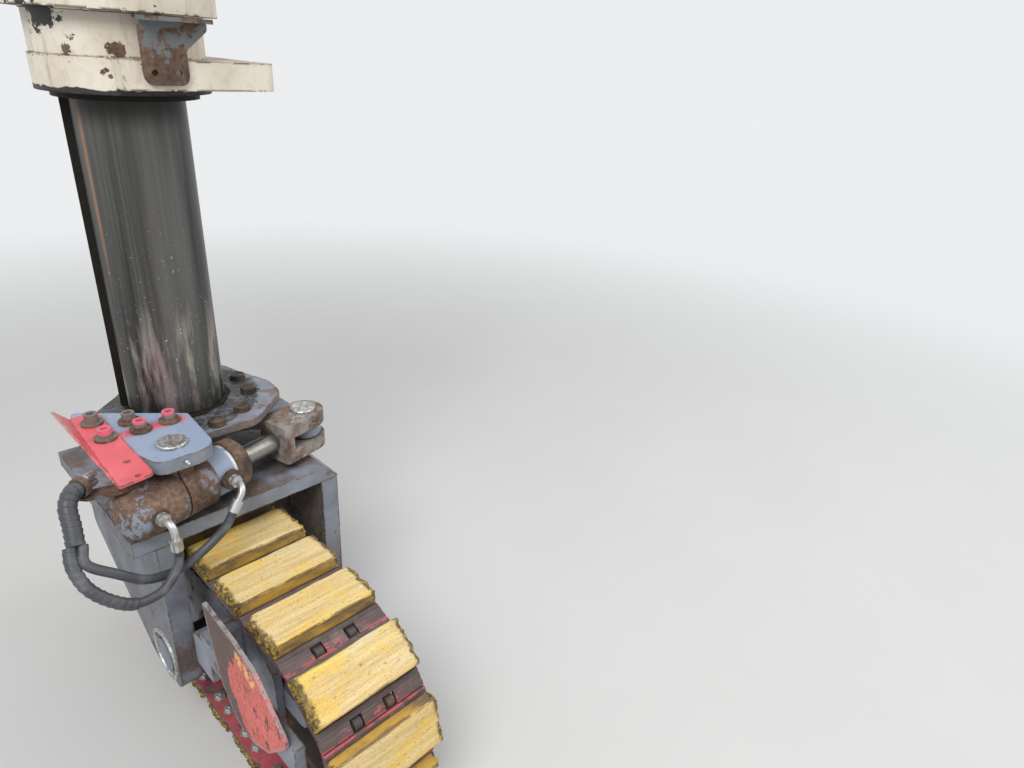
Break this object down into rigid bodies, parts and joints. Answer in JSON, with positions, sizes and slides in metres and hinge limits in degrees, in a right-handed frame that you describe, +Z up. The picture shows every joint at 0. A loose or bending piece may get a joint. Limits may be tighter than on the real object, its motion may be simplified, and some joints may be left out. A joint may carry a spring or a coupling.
{
  "type": "steered crawler track unit with lifting column",
  "caption": "Crawler leg of a road milling machine: padded track in a swivelling fork, steering cylinder, and a keyed column that slides in a flanged sleeve.",
  "frame": {"origin": "on the column's axis, at the top face of the guide sleeve's housing, where the machine's frame is bolted on", "axes": "+Z up along the column, -Y to the front of the track, +X towards the machine"},
  "size_m": [0.6704, 1.3011, 2.5401],
  "materials": {
    "cream_paint": "satin",
    "grey_paint": "matte",
    "red_paint": "matte",
    "guard_paint": "matte",
    "slide_steel": "satin",
    "rusty_steel": "rough",
    "dark_steel": "rough",
    "zinc": "satin",
    "shoe_paint": "rough",
    "pad": "matte",
    "grease": "gloss",
    "hose_rubber": "satin"
  },
  "bodies": {
    "sleeve": {"guide_sleeve": "cream_paint", "guide_rings": "rusty_steel", "seal_ring": "grease", "sleeve_cap": "cream_paint", "collar_bracket": "rusty_steel"},
    "column": {"column_tube": "slide_steel", "guide_key": "dark_steel", "column_flange": "grey_paint", "flange_bolts": "rusty_steel", "cylinder_bracket": "grey_paint", "red_plate": "red_paint", "bracket_screws": "rusty_steel", "pivot_pin": "zinc", "kingpin": "slide_steel", "kingpin_keeper": "rusty_steel"},
    "fork": {"fork_plate": "grey_paint", "fork_leg_outer": "grey_paint", "fork_leg_inner": "grey_paint", "swivel_hub": "grey_paint", "thrust_washer": "rusty_steel", "steering_arm": "grey_paint", "axle": "slide_steel", "axle_caps": "rusty_steel", "track_frame": "grey_paint", "top_rails": "rusty_steel", "bottom_rollers": "dark_steel", "idler_wheel": "dark_steel", "idler_yoke": "grey_paint", "tension_cylinder": "dark_steel", "sprocket": "rusty_steel", "final_drive": "dark_steel", "track_chain": "shoe_paint", "track_pads": "pad", "side_guard": "guard_paint", "guard_bracket": "grey_paint"},
    "steer_barrel": {"cylinder_barrel": "rusty_steel", "cylinder_gland": "rusty_steel", "port_elbows": "zinc", "rear_hose": "hose_rubber", "front_hose": "hose_rubber", "hose_wrap": "hose_rubber", "hose_clamp": "rusty_steel", "hose_couplings": "zinc"},
    "steer_rod": {"piston_rod": "zinc", "clevis": "rusty_steel", "clevis_pin": "zinc"}
  },
  "joints": [
    {"name": "lift", "type": "slide", "parent": "sleeve", "child": "column", "axis": [0, 0, 1], "range_m": [-0.03, 0.58]},
    {"name": "steer", "type": "hinge", "parent": "column", "child": "fork", "pos_m": [0, 0, -1], "axis": [0, 0, 1], "range_deg": [-25, 25]},
    {"name": "barrel_swing", "type": "hinge", "parent": "column", "child": "steer_barrel", "pos_m": [-0.118, -0.27, -1], "axis": [0, 0, 1], "range_deg": [-13.3, 13.3]},
    {"name": "rod_slide", "type": "slide", "parent": "steer_barrel", "child": "steer_rod", "axis": [0.9748, 0.2233, 0], "range_m": [-0.1036, 0.1036]}
  ],
  "couplings": [
    {"joint": "barrel_swing", "follows": "steer", "ratio": 0.5251},
    {"joint": "rod_slide", "follows": "steer", "m_per_rad": 0.235}
  ]
}
